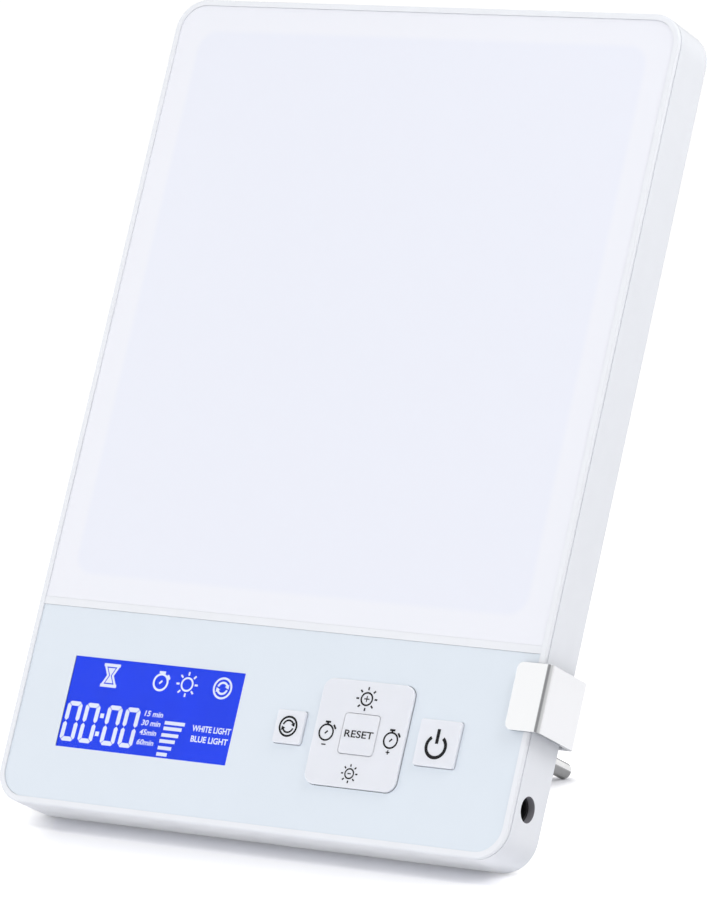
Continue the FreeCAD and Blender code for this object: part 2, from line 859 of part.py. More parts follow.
def jack_pin():
    """Centre contact of the power jack, with a thicker root held in the socket's floor."""
    floor_x = half_width - shell_wall - jack_bore_depth
    tip_x = floor_x + jack_pin_length
    root = rod_x(floor_x - jack_pin_root, floor_x, inlet_y, inlet_z, jack_pin_root_radius)
    pin = rod_x(floor_x - jack_pin_root / 2, tip_x, inlet_y, inlet_z, jack_pin_radius)
    return round_edges(join([root, pin]), jack_pin_radius / 2, lambda point: abs(point.x - tip_x) < 1e-4)


def jack_leads():
    """Two leads from the power jack to the board."""
    length = jack_back_x() - board_right + lead_pocket
    return [Part.makeCylinder(lead_radius, length,
                              V(board_right - lead_pocket, inlet_y + side * lead_pitch / 2, -jack_lead_depth),
                              V(1, 0, 0)) for side in (-1, 1)]


# ---------------------------------------------------------------- stand
lip_inner_z = lip_pad_thickness + slide_clearance
lip_outer_z = lip_inner_z + sheet_thickness
arm_inner_z = back_z - back_pad_thickness - slide_clearance
arm_outer_z = arm_inner_z - sheet_thickness
plate_inner_x = half_width + side_gap
plate_outer_x = plate_inner_x + sheet_thickness
bracket_high = bracket_low + bracket_height
arm_end_radius = leg_height - bracket_low


def arm_outline(inset, x_high, z_high, z_low):
    """Rear arm in plan: a straight strip that ends in a disc round the leg."""
    strip = block(leg_x, x_high, bracket_low + inset, bracket_high - inset, z_high, z_low)
    disc = post(leg_x, leg_height, arm_end_radius - inset, z_high, z_low)
    return join([strip, disc])


def socket_screw_places():
    """Screws in a circle round the leg."""
    step = 2 * math.pi / socket_screw_count
    return [(leg_x + socket_screw_circle * math.cos(math.pi / 2 + index * step),
             leg_height + socket_screw_circle * math.sin(math.pi / 2 + index * step))
            for index in range(socket_screw_count)]


def screw_cone(x, y, top_radius, radius, z_high):
    """Countersunk head that widens towards the panel."""
    return Part.makeCone(radius, top_radius, socket_screw_head_height,
                         V(x, y, z_high - socket_screw_head_height))


def stand_bracket():
    """Bent steel bracket: lip over the front, plate beside the panel, arm behind it."""
    lip = block(half_width - lip_reach, plate_outer_x, bracket_low, bracket_high, lip_outer_z, lip_inner_z)
    lip = round_edges(lip, lip_corner_radius,
                      lambda point: abs(point.x - half_width + lip_reach) < 1e-4
                      and min(abs(point.y - bracket_low), abs(point.y - bracket_high)) < 1e-4)
    plate = block(plate_inner_x, plate_outer_x, bracket_low, bracket_high, lip_outer_z, arm_outer_z)
    arm = arm_outline(0, plate_outer_x, arm_inner_z, arm_outer_z)
    bracket = join([lip, plate, arm])
    bracket = round_edges(bracket, bend_radius,
                          lambda point: abs(point.x - plate_outer_x) < 1e-4
                          and min(abs(point.z - lip_outer_z), abs(point.z - arm_outer_z)) < 1e-4)
    holes = []
    for x, y in socket_screw_places():
        holes.append(post(x, y, socket_screw_radius + screw_fit, arm_inner_z, arm_outer_z))
        holes.append(screw_cone(x, y, socket_screw_head_radius + screw_fit, socket_screw_radius + screw_fit,
                                arm_inner_z))
    return bracket.cut(holes)


def lip_pad():
    """Thin cushion under the bracket's front lip."""
    return block(half_width - lip_reach + pad_inset, half_width, bracket_low + pad_inset,
                 bracket_high - pad_inset, lip_inner_z, slide_clearance)


def back_pad():
    """Rubber cushion between the rear arm and the back of the panel."""
    return arm_outline(pad_inset, half_width - back_edge_radius, back_z - slide_clearance, arm_inner_z)


def leg_socket():
    """Turned aluminium socket screwed to the rear arm."""
    flange = post(leg_x, leg_height, socket_flange_radius, arm_outer_z, arm_outer_z - socket_flange_thickness)
    end_z = arm_outer_z - socket_flange_thickness - socket_length
    barrel = post(leg_x, leg_height, socket_radius, arm_outer_z, end_z)
    socket = join([flange, barrel])
    rims = (end_z, arm_outer_z - socket_flange_thickness)
    socket = round_edges(socket, socket_edge, lambda point: any(abs(point.z - z) < 1e-4 for z in rims))
    bore = post(leg_x, leg_height, leg_radius + socket_fit, end_z + socket_bore_depth, end_z)
    holes = [post(x, y, socket_screw_radius + screw_fit, arm_outer_z,
                  arm_outer_z - socket_screw_grip - screw_fit) for x, y in socket_screw_places()]
    return socket.cut([bore] + holes)


def socket_screws():
    """Countersunk screws through the arm into the socket's flange."""
    screws = []
    for x, y in socket_screw_places():
        head = screw_cone(x, y, socket_screw_head_radius, socket_screw_radius, arm_inner_z)
        shank = post(x, y, socket_screw_radius, arm_inner_z - socket_screw_head_height / 2,
                     arm_outer_z - socket_screw_grip)
        screws.append(join([head, shank]))
    return screws


def leg_levels():
    """Inner end, groove middle and outer end of the leg."""
    socket_end_z = arm_outer_z - socket_flange_thickness - socket_length
    inner_z = socket_end_z + socket_bore_depth
    groove_z = inner_z - ring_groove_from_end
    lean = math.radians(lean_angle)
    edge_lift = back_edge_radius * (math.cos(lean) + math.sin(lean) - 1)
    reach = ((leg_height - leg_radius) * math.cos(lean) - edge_lift) / math.sin(lean)
    return inner_z, groove_z, back_z - reach - leg_chamfer


def ring_groove(outer_radius):
    """Ring-shaped groove of the leg, or the seal ring that fills it."""
    groove_z = leg_levels()[1]
    outer = post(leg_x, leg_height, outer_radius, groove_z + ring_section / 2, groove_z - ring_section / 2)
    core = post(leg_x, leg_height, leg_radius - ring_section / 2, groove_z + ring_section / 2,
                groove_z - ring_section / 2)
    return outer.cut(core)


def stand_leg():
    """Polished steel rod, pushed into the socket and standing on the desk."""
    inner_z, groove_z, outer_z = leg_levels()
    leg = post(leg_x, leg_height, leg_radius, inner_z, outer_z)
    ends = [edge for edge in leg.Edges if isinstance(edge.Curve, Part.Circle)]
    leg = leg.makeChamfer(leg_chamfer, ends)
    return leg.cut(ring_groove(leg_radius + ring_section))


def leg_ring():
    """Rubber ring that grips the socket's bore."""
    return ring_groove(leg_radius + socket_fit - ring_squash)


# ---------------------------------------------------------------- the pieces
nodes["front_frame"] = front_frame()
nodes["rear_shell"] = rear_shell()
nodes["housing_screws"] = housing_screws()
nodes["diffuser"] = diffuser()
nodes["light_guide"] = light_guide()
nodes["reflector_sheet"] = reflector_sheet()
nodes["light_tray"] = light_tray()
nodes["led_boards"] = led_boards()
nodes["led_packages"] = led_packages()
nodes["led_leads"] = led_leads()
nodes["control_film"] = control_film()
nodes["display_window"] = display_window()
nodes["display_glass"] = display_glass()
nodes["display_backlight"] = display_backlight()
nodes["display_holder"] = display_holder()
nodes["display_pins"] = display_pins()
nodes["control_board"] = control_board()
nodes["board_screws"] = board_screws()
nodes["switch_bodies"] = switch_bodies()
nodes["switch_covers"] = switch_covers()
nodes["switch_domes"] = switch_domes()
nodes["controller_chips"] = controller_chips()
nodes["inductor"] = inductor()
nodes["capacitors"] = capacitors()
nodes["buzzer"] = buzzer()
nodes["board_connectors"] = board_connectors()
nodes["dc_jack"] = dc_jack()
nodes["jack_pin"] = jack_pin()
nodes["jack_leads"] = jack_leads()
nodes["mode_key"] = plain_key(mode_place, mode_key_width, mode_key_height, mode_key_corner)
nodes["mode_actuator"] = actuator(mode_place)
nodes["power_key"] = plain_key(power_place, power_key_width, power_key_height, power_key_corner)
nodes["power_actuator"] = actuator(power_place)
nodes["reset_key"] = reset_key()
nodes["reset_actuator"] = actuator(reset_place)
nodes["nav_plate"] = nav_plate()
nodes["nav_actuators"] = [actuator(place) for place in nav_places]
nodes["nav_ring"] = nav_ring()
nodes["stand_bracket"] = stand_bracket()
nodes["lip_pad"] = lip_pad()
nodes["back_pad"] = back_pad()
nodes["leg_socket"] = leg_socket()
nodes["socket_screws"] = socket_screws()
nodes["stand_leg"] = stand_leg()
nodes["leg_ring"] = leg_ring()

# ---------------------------------------------------------------- leaning on the desk
# The panel leans back about its lower rear edge. The origin is the middle of the whole lamp's
# footprint, at desk level.
lean_back = FreeCAD.Placement(V(0, 0, 0), FreeCAD.Rotation(V(1, 0, 0), 90 - lean_angle)).toMatrix()
placed = {}
for name, made in nodes.items():
    shape = Part.Compound(made if isinstance(made, list) else [made])
    shape.translate(V(0, 0, panel_depth))
    placed[name] = shape.transformed(lean_back, True)
whole_box = Part.Compound(list(placed.values())).optimalBoundingBox()
to_origin = V(-(whole_box.XMin + whole_box.XMax) / 2, -(whole_box.YMin + whole_box.YMax) / 2, -whole_box.ZMin)

os.makedirs("parts", exist_ok=True)
for name, shape in placed.items():
    shape.translate(to_origin)
    shape.exportStep("parts/" + name + ".step")
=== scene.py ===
"""Light therapy lamp: finishes, printing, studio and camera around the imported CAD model."""
import json
import math

import bmesh
import bpy
from mathutils import Matrix, Vector


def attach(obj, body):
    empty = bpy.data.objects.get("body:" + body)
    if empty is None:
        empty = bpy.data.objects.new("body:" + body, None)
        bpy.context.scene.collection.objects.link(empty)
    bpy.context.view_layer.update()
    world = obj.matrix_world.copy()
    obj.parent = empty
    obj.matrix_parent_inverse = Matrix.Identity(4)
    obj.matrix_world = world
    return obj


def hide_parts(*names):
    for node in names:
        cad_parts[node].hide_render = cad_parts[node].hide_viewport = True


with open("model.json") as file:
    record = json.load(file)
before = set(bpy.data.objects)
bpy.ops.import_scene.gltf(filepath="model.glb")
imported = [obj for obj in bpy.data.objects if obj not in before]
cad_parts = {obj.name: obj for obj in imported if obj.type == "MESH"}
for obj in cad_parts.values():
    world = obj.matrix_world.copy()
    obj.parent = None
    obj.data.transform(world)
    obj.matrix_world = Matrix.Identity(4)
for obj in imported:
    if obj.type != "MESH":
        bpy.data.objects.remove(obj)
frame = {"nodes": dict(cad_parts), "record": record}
nodes = frame["nodes"]
mounts = {mount["name"]: mount for mount in frame["record"]["mounts"]}


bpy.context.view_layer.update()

# ---------------------------------------------------------------- the panel's own frame
# x runs across the panel from its centre line, y up from its lower side and z out of the front face
# of the rim, all in millimetres, as the panel was designed.
RIM_BEFORE_MOUNT = 0.009275  # metres from the middle of the lower side to the front of the rim
ACROSS = Vector((1, 0, 0))
UP = -Vector(mounts["lower_side"]["axis"]).normalized()
OUT = ACROSS.cross(UP)
RIM_FRONT = Vector(mounts["lower_side"]["pos_m"]) + OUT * RIM_BEFORE_MOUNT


def at(x, y, z=0.0):
    """Point of the panel's frame, in the row frame."""
    return RIM_FRONT + (ACROSS * x + UP * y + OUT * z) / 1000


def panel_box(node):
    """Lowest and highest x, y and z of a CAD node in the panel's frame."""
    corners = [vertex.co - RIM_FRONT for vertex in nodes[node].data.vertices]
    reaches = [[corner.dot(axis) * 1000 for corner in corners] for axis in (ACROSS, UP, OUT)]
    return [(min(reach), max(reach)) for reach in reaches]


def srgb(*channels):
    """Linear colour of an 8-bit display colour."""
    shares = [channel / 255 for channel in channels]
    linear = [((share + 0.055) / 1.055) ** 2.4 if share > 0.04045 else share / 12.92 for share in shares]
    return (*linear, 1.0)


# ---------------------------------------------------------------- node trees
class NodeTree:
    """Short calls that add nodes to a tree and give their outputs."""

    def __init__(self, tree):
        self.tree = tree

    def node(self, kind, **settings):
        """New node with settings for its properties and inputs."""
        made = self.tree.nodes.new(kind)
        for key, value in settings.items():
            if hasattr(made, key):
                setattr(made, key, value)
            else:
                self.feed(made.inputs[key], value)
        return made

    def feed(self, socket, value):
        """Link an output or set a value."""
        if isinstance(value, bpy.types.NodeSocket):
            self.tree.links.new(value, socket)
        else:
            socket.default_value = value

    def feed_all(self, made, values):
        """Link or set a node's first inputs in their order."""
        for socket, value in zip(made.inputs, values):
            self.feed(socket, value)
        return made

    def math(self, operation, first, second=0.0):
        """Output of a math node."""
        return self.feed_all(self.node("ShaderNodeMath", operation=operation), (first, second)).outputs[0]

    def vector(self, operation, first, second=(0, 0, 0), output="Vector"):
        """Output of a vector math node."""
        made = self.node("ShaderNodeVectorMath", operation=operation)
        return self.feed_all(made, (first, second)).outputs[output]

    def remap(self, value, low, high, to_low=0.0, to_high=1.0):
        """Value moved smoothly from one range to another."""
        made = self.node("ShaderNodeMapRange", interpolation_type="SMOOTHSTEP")
        return self.feed_all(made, (value, low, high, to_low, to_high)).outputs["Result"]

    def blend(self, factor, first, second):
        """Mixed colour."""
        made = self.node("ShaderNodeMix", data_type="RGBA")
        for index, value in ((0, factor), (6, first), (7, second)):
            self.feed(made.inputs[index], value)
        return made.outputs[2]

    def coordinate(self, name):
        """Texture coordinate."""
        return self.node("ShaderNodeTexCoord").outputs[name]

    def ray(self, kind):
        """1 for rays of a kind."""
        return self.node("ShaderNodeLightPath").outputs[kind]

    def seen_directly(self, camera, mirrors):
        """One value for rays that come straight from the camera, one for those from a mirror or glass."""
        bounced = self.math("MAXIMUM", self.ray("Is Glossy Ray"), self.ray("Is Transmission Ray"))
        return self.math("ADD", self.math("MULTIPLY", self.ray("Is Camera Ray"), camera),
                         self.math("MULTIPLY", bounced, mirrors))


class Look(NodeTree):
    """A Principled material."""

    def __init__(self, name, color, roughness, metallic=0.0, **sockets):
        self.material = bpy.data.materials.new(name)
        self.material.use_nodes = True
        self.material.diffuse_color = color
        super().__init__(self.material.node_tree)
        self.shader = self.tree.nodes["Principled BSDF"]
        self.place = self.coordinate("Object")
        self.color = color
        self.roughness = roughness
        self.set("Base Color", color)
        self.set("Roughness", roughness)
        self.set("Metallic", metallic)
        for socket, value in sockets.items():
            self.set(socket.replace("_", " "), value)

    def set(self, socket, value):
        """A plain value on one of the shader's own sockets, or an output linked to it."""
        self.feed(self.shader.inputs[socket], value)

    def noise(self, size, detail=2.0, stretch=(1, 1, 1)):
        """Noise, mostly from 0.3 to 0.7, whose features are about size millimetres across."""
        mapping = self.node("ShaderNodeMapping", Vector=self.place)
        mapping.inputs["Scale"].default_value = [1000 * value for value in stretch]
        made = self.node("ShaderNodeTexNoise", Detail=detail, Vector=mapping.outputs["Vector"])
        made.inputs["Scale"].default_value = 1 / size
        return made.outputs["Fac"]

    def tone(self, size, spread, shade, stretch=(1, 1, 1)):
        """Slight colour change over the surface, and roughness that follows it."""
        field = self.noise(size, 3.0, stretch)
        darker = [channel * shade for channel in self.color[:3]] + [1.0]
        self.set("Base Color", self.blend(self.remap(field, 0.35, 0.7), self.color, darker))
        self.set("Roughness", self.remap(field, 0.3, 0.7, self.roughness - spread, self.roughness + spread))
        return self

    def recolor(self, factor, color):
        """Another colour where the factor is 1, over what colours the surface so far."""
        so_far = self.shader.inputs["Base Color"].links[0].from_socket
        self.set("Base Color", self.blend(factor, so_far, color))

    def bump(self, height, depth, strength, edge=0.0):
        """Surface relief in millimetres, with corners rounded to an edge radius."""
        made = self.node("ShaderNodeBump", Strength=strength, Height=height)
        made.inputs["Distance"].default_value = depth / 1000
        if edge:
            rounded = self.node("ShaderNodeBevel", samples=4)
            rounded.inputs["Radius"].default_value = edge / 1000
            self.feed(made.inputs["Normal"], rounded.outputs[0])
        self.set("Normal", made.outputs["Normal"])
        return self


# ---------------------------------------------------------------- materials
def moulded(name, color, roughness, grain=0.35, depth=0.012, edge=0.15, shade=0.985, **sockets):
    """Moulded plastic with the fine spark-eroded grain of a tool."""
    look = Look(name, color, roughness, **sockets).tone(size=9.0, spread=0.04, shade=shade)
    return look.bump(look.noise(grain, detail=3.0), depth, strength=0.6, edge=edge).material


def metal(name, color, roughness, stretch=(1, 1, 1), size=0.25, depth=0.004):
    """Bare metal with the fine lines of its finish."""
    look = Look(name, color, roughness, metallic=1.0)
    look.tone(size * 12, spread=0.03, shade=0.93, stretch=stretch)
    return look.bump(look.noise(size, stretch=stretch), depth, strength=0.5, edge=0.12).material


def housing_plastic():
    """White moulding whose wall inside the hole of the power inlet is painted dark grey: painted shade in
    the bore, standing in also for a dark sleeve of the jack.
    """
    look = Look("white_housing", srgb(240, 242, 246), 0.42).tone(size=9.0, spread=0.04, shade=0.985)
    inlet = mounts["dc_inlet"]
    bore_skin = 0.00001
    painted_depth = 0.01
    away = look.vector("SUBTRACT", look.place, inlet["pos_m"])
    from_axis = look.vector("LENGTH", look.vector("CROSS_PRODUCT", away, inlet["axis"]), output="Value")
    from_mouth = look.vector("DISTANCE", look.place, inlet["pos_m"], "Value")
    radius = inlet["dims"]["r_mm"] / 1000
    in_bore = look.remap(from_axis, radius + bore_skin, radius + 3 * bore_skin, 1.0, 0.0)
    near_mouth = look.remap(from_mouth, painted_depth, 1.2 * painted_depth, 1.0, 0.0)
    # painted shade: the white wall inside the inlet's bore, near its mouth, is coloured dark grey
    look.recolor(look.math("MULTIPLY", in_bore, near_mouth), srgb(140, 139, 145))
    return look.bump(look.noise(0.35, detail=3.0), depth=0.012, strength=0.6, edge=0.15).material


def bracket_steel():
    """Polished sheet whose cut edges along its top and bottom are painted dark: partly the duller cut steel,
    mostly painted shade and painted dark reflection under the lip and side plate.
    """
    rolled = (1, 0.2, 0.2)
    look = Look("polished_bracket", (0.94, 0.943, 0.945, 1), 0.16, metallic=1.0)
    look.tone(size=6.0, spread=0.03, shade=0.985, stretch=rolled)
    # painted shade: faces that look straight up or down, the sheet's cut edges, are coloured dark grey
    faces_up = look.math("ABSOLUTE", look.vector("DOT_PRODUCT", look.coordinate("Normal"), UP, "Value"))
    look.recolor(look.remap(faces_up, 0.85, 0.95), (0.36, 0.37, 0.39, 1))
    return look.bump(look.noise(0.5, stretch=rolled), depth=0.0006, strength=0.5, edge=0.12).material


def outside_distance(look, x_middle, y_middle, x_half, y_half, radius):
    """How far a point lies outside a rounded rectangle of the panel, negative inside, in millimetres."""
    away = look.vector("SUBTRACT", look.place, RIM_FRONT)
    gaps = []
    for axis, middle, half in ((ACROSS, x_middle, x_half), (UP, y_middle, y_half)):
        along = look.vector("DOT_PRODUCT", away, axis * 1000, "Value")
        from_middle = look.math("ABSOLUTE", look.math("SUBTRACT", along, middle))
        gaps.append(look.math("SUBTRACT", from_middle, half - radius))
    squares = [look.math("POWER", look.math("MAXIMUM", gap, 0.0), 2.0) for gap in gaps]
    corner = look.math("SQRT", look.math("ADD", *squares))
    inner = look.math("MINIMUM", look.math("MAXIMUM", *gaps), 0.0)
    return look.math("SUBTRACT", look.math("ADD", corner, inner), radius)


def opal_plate():
    """Opal acrylic, a little cooler over the light guide than over its border, with a faint painted glow."""
    inset_side, inset_end, corner_radius, blur = 1.0, 3.0, 6.0, 1.2
    # painted light: a faint emission brightens the plate, though nothing behind it is lit
    look = Look("opal", srgb(235, 237, 246), 0.33, Coat_Weight=0.3, Coat_Roughness=0.12,
                Emission_Color=srgb(236, 240, 250), Emission_Strength=0.02)
    (_, half), (low, high), _ = panel_box("light_guide")
    outside = outside_distance(look, 0.0, (low + high) / 2, half - inset_side, (high - low) / 2 - inset_end,
                               corner_radius)
    look.set("Base Color", look.blend(look.remap(outside, -blur, blur), look.color, srgb(239, 240, 246)))
    look.set("Roughness", look.remap(look.noise(14.0), 0.3, 0.7, 0.31, 0.36))
    return look.bump(look.noise(0.5), depth=0.002, strength=0.3).material


def printed_film():
    """Satin polyester overlay, printed pale blue-grey on its back."""
    look = Look("film", srgb(226, 234, 242), 0.32, Coat_Weight=0.25, Coat_Roughness=0.2)
    look.tone(size=20.0, spread=0.03, shade=0.99)
    return look.bump(look.noise(0.25), depth=0.003, strength=0.4).material


def window_film():
    """Clear part of the overlay."""
    look = Look("clear_window", (0.98, 0.985, 1.0, 1), 0.03, IOR=1.12, Transmission_Weight=1.0)
    look.set("Roughness", look.remap(look.noise(6.0), 0.3, 0.7, 0.02, 0.05))
    return look.bump(look.noise(3.0), depth=0.0005, strength=0.3).material


def lit_display(name, color):
    """Glowing part of the display with a very slight unevenness."""
    look = Look(name, (0.01, 0.012, 0.02, 1), 0.5, Specular_IOR_Level=0.0, Emission_Strength=1.0)
    duller = [channel * 0.95 for channel in color[:3]] + [1.0]
    look.set("Emission Color", look.blend(look.remap(look.noise(12.0), 0.35, 0.65), color, duller))
    return look.material


white_housing = housing_plastic()
polished_bracket = bracket_steel()
opal = opal_plate()
film = printed_film()
clear_window = window_film()
lcd_blue = lit_display("lcd_blue", srgb(36, 68, 238))
lcd_white = lit_display("lcd_white", srgb(232, 238, 254))

bead_white = moulded("bead_white", srgb(239, 241, 245), 0.4, grain=0.3, depth=0.008)
key_plastic = moulded("key_plastic", srgb(234, 236, 242), 0.36, grain=0.25, depth=0.006, edge=0.2,
                      Subsurface_Weight=0.6, Subsurface_Scale=0.0009, Subsurface_Radius=(1, 1, 1))
key_print = moulded("key_print", srgb(16, 16, 20), 0.5, grain=0.2, depth=0.002, edge=0.0, shade=0.92,
                    Specular_IOR_Level=0.2)
black_moulding = moulded("black_moulding", (0.012, 0.012, 0.014, 1), 0.45, shade=0.8)
natural_nylon = moulded("natural_nylon", (0.82, 0.80, 0.72, 1), 0.4, shade=0.94)
rubber = moulded("rubber", (0.03, 0.03, 0.032, 1), 0.75, grain=0.5, depth=0.03, shade=0.75)
white_sheet = moulded("white_sheet", (0.92, 0.92, 0.92, 1), 0.7, grain=0.2, edge=0.0)
clear_acrylic = moulded("clear_acrylic", (0.9, 0.95, 0.97, 1), 0.04, grain=4.0, depth=0.004, IOR=1.49,
                        Transmission_Weight=1.0)
ferrite = moulded("ferrite", (0.06, 0.06, 0.065, 1), 0.6, grain=0.2, depth=0.04, shade=0.7)
chip_epoxy = moulded("chip_epoxy", (0.02, 0.02, 0.022, 1), 0.5, grain=0.15, depth=0.02, shade=0.8)
phosphor = moulded("phosphor", (0.95, 0.83, 0.35, 1), 0.3, grain=0.3, shade=0.9)
red_sleeve = moulded("red_sleeve", (0.5, 0.02, 0.015, 1), 0.4, grain=0.8, shade=0.85)
white_laminate = moulded("white_laminate", (0.86, 0.86, 0.83, 1), 0.4, grain=0.4)
green_laminate = moulded("green_laminate", (0.02, 0.16, 0.05, 1), 0.3, grain=0.6, shade=0.8)
backlight_blue = moulded("backlight_blue", srgb(40, 66, 225), 0.3, grain=0.8, edge=0.0)

polished_leg = metal("polished_leg", (0.88, 0.88, 0.87, 1), 0.07, size=0.3, depth=0.001)
turned_aluminium = metal("turned_aluminium", (0.84, 0.85, 0.86, 1), 0.34, size=0.12, depth=0.008)
tray_metal = metal("tray_metal", (0.77, 0.78, 0.8, 1), 0.38, stretch=(0.05, 1, 1))
capacitor_can = metal("capacitor_can", (0.8, 0.8, 0.83, 1), 0.22)
zinc = metal("zinc", (0.72, 0.73, 0.76, 1), 0.3, size=0.4, depth=0.01)
spring_steel = metal("spring_steel", (0.66, 0.66, 0.67, 1), 0.25, stretch=(1, 0.1, 0.1))
brass_contact = metal("brass_contact", (0.86, 0.66, 0.3, 1), 0.22)
nickel = metal("nickel", (0.78, 0.77, 0.74, 1), 0.16, stretch=(0.2, 1, 1), size=0.15)

MATERIAL_OF = {
    "front_frame": bead_white, "rear_shell": white_housing, "housing_screws": zinc,
    "diffuser": opal, "control_film": film, "display_window": clear_window, "display_glass": lcd_blue,
    "mode_key": key_plastic, "power_key": key_plastic, "reset_key": key_plastic, "nav_plate": key_plastic,
    "nav_ring": key_plastic, "mode_actuator": black_moulding, "power_actuator": black_moulding,
    "reset_actuator": black_moulding, "nav_actuators": black_moulding,
    "light_guide": clear_acrylic, "reflector_sheet": white_sheet, "light_tray": tray_metal,
    "led_boards": white_laminate, "led_packages": phosphor, "led_leads": red_sleeve,
    "display_backlight": backlight_blue, "display_holder": black_moulding, "display_pins": brass_contact,
    "control_board": green_laminate, "board_screws": zinc, "board_connectors": natural_nylon,
    "controller_chips": chip_epoxy, "inductor": ferrite, "capacitors": capacitor_can, "buzzer": chip_epoxy,
    "switch_bodies": black_moulding, "switch_covers": spring_steel, "switch_domes": spring_steel,
    "dc_jack": black_moulding, "jack_pin": nickel, "jack_leads": red_sleeve,
    "stand_bracket": polished_bracket, "lip_pad": rubber, "back_pad": rubber, "leg_socket": turned_aluminium,
    "socket_screws": zinc, "stand_leg": polished_leg, "leg_ring": rubber,
}


def paint(node, material):
    """Gives a carried-over CAD node its material."""
    slots = nodes[node].material_slots
    for slot in slots:
        slot.material = material
    if not slots:
        nodes[node].data.materials.append(material)


for node, material in MATERIAL_OF.items():
    paint(node, material)


# ---------------------------------------------------------------- flat printing
def add_piece(name, mesh, material, body):
    """Turns finished mesh work into a piece that rides on a body."""
    data = bpy.data.meshes.new(name)
    mesh.to_mesh(data)
    mesh.free()
    data.materials.append(material)
    piece = bpy.data.objects.new(name, data)
    bpy.context.scene.collection.objects.link(piece)
    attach(piece, body)
    return piece


class Print:
    """Flat printed shapes, in millimetres from a point of the panel's frame, gathered into one piece."""

    def __init__(self, x_from, y_from, level):
        self.mesh = bmesh.new()
        self.x_from = x_from
        self.y_from = y_from
        self.level = level

    def corner(self, x, y):
        """New point of the printing."""
        return self.mesh.verts.new(at(self.x_from + x, self.y_from + y, self.level))

    def polygon(self, points):
        """Filled flat shape."""
        self.mesh.faces.new([self.corner(x, y) for x, y in points])

    def line(self, x_low, y_low, x_high, y_high, width):
        """Straight stroke between two points."""
        along = Vector((x_high - x_low, y_high - y_low)).normalized() * width / 2
        side = (-along.y, along.x)
        self.polygon([(x_low - side[0], y_low - side[1]), (x_high - side[0], y_high - side[1]),
                      (x_high + side[0], y_high + side[1]), (x_low + side[0], y_low + side[1])])

    def minus(self, x, y, half, width):
        """Level stroke round a middle."""
        self.line(x - half, y, x + half, y, width)

    def plus(self, x, y, half, width):
        """Level and upright strokes that cross."""
        self.minus(x, y, half, width)
        self.line(x, y - half, x, y + half, width)

    def arc(self, x, y, radius, width, start=0.0, end=360.0):
        """Ring or part of one, outer radius given."""
        degrees_per_step = 7.5
        steps = max(6, round(abs(end - start) / degrees_per_step))
        turns = [math.radians(start + (end - start) * step / steps) for step in range(steps + 1)]
        for first, second in zip(turns, turns[1:]):
            self.polygon([(x + r * math.cos(t), y + r * math.sin(t))
                          for r, t in ((radius, first), (radius, second),
                                       (radius - width, second), (radius - width, first))])

    def arrow(self, x, y, radius, width, start, end, head):
        """Arc that ends in an arrowhead."""
        self.arc(x, y, radius, width, start, end)
        turn = math.radians(end)
        middle = radius - width / 2
        head_length = 1.5 * head
        ahead = math.copysign(head_length, end - start)
        self.polygon([(x + (middle + head) * math.cos(turn), y + (middle + head) * math.sin(turn)),
                      (x + middle * math.cos(turn) - ahead * math.sin(turn),
                       y + middle * math.sin(turn) + ahead * math.cos(turn)),
                      (x + (middle - head) * math.cos(turn), y + (middle - head) * math.sin(turn))])

    def cycle(self, x, y, radius, width, inner, inner_width, head):
        """Two arrows that chase each other in a ring: change of mode."""
        self.arc(x, y, radius, width)
        for start, end in ((165, 32), (345, 212)):
            self.arrow(x, y, inner, inner_width, start, end, head)

    def sun(self, x, y, radius, width, inner, outer, ray_width):
        """Ring with eight rays: brightness."""
        self.arc(x, y, radius, width)
        for index in range(8):
            turn = 2 * math.pi * index / 8
            self.line(x + inner * math.cos(turn), y + inner * math.sin(turn),
                      x + outer * math.cos(turn), y + outer * math.sin(turn), ray_width)

    def stopwatch(self, x, y, radius, width, stand, thickness, crown):
        """Ring with crown, pusher and hand: timer."""
        self.arc(x, y, radius, width)
        top = y + radius * stand
        self.minus(x, top, crown / 2, thickness)
        self.line(x, y + radius - width / 2, x, top, thickness)
        pusher_turn = math.radians(35)
        push_x = x + radius * stand * math.cos(pusher_turn)
        push_y = y + radius * stand * math.sin(pusher_turn)
        bar_half = radius * 0.28
        bar_x, bar_y = bar_half * 0.57, bar_half * 0.82
        self.line(push_x - bar_x, push_y + bar_y, push_x + bar_x, push_y - bar_y, thickness)
        hand_back, hand_front, hand_width = radius * 0.15, radius * 0.18, width * 0.9
        self.line(x - hand_back, y - hand_back, x + hand_front, y + hand_front, hand_width)

    def hourglass(self, x, y):
        """Two bulbs with sand between two bars: running time."""
        bar_half, bar_rise, bar_width = 2.75, 2.95, 0.9
        bulb_half, bulb_rise, waist_half, waist_rise, wall = 2.15, 2.6, 0.75, 0.1, 0.65
        sand_half, sand_rise, sand_tip = 1.25, 2.15, 0.25
        for up in (1, -1):
            self.minus(x, y + up * bar_rise, bar_half, bar_width)
            for across in (1, -1):
                self.line(x + across * bulb_half, y + up * bulb_rise,
                          x + across * waist_half, y - up * waist_rise, wall)
            self.polygon([(x - sand_half, y + up * sand_rise), (x, y - up * sand_tip),
                          (x + sand_half, y + up * sand_rise)][::up])

    def zero(self, x, y):
        """Seven-segment nought with its middle bar off, from its lower left corner."""
        half, tall, stroke, corner, slit = 2.5, 5.77, 1.3, 1.0, 0.1
        tip, shoulder, slant = 0.12, 0.75, 0.036
        inner = half - stroke
        near, far = (corner - slit) / 2, (corner + slit) / 2
        side = [(inner, tall - stroke - slit), (half - near, tall - far), (half, tall - corner),
                (half, shoulder), (half - stroke / 2, tip), (inner, shoulder)]
        bar = [(inner - slit, tall - stroke), (half - far, tall - near), (half - corner, tall),
               (corner - half, tall), (far - half, tall - near), (slit - inner, tall - stroke)]
        shapes = [[(across * a, up * b) for a, b in side] for across in (1, -1) for up in (1, -1)]
        shapes += [[(a, up * b) for a, b in bar] for up in (1, -1)]
        for shape in shapes:
            self.polygon([(x + half + a + slant * (b + tall), y + tall + b) for a, b in shape])

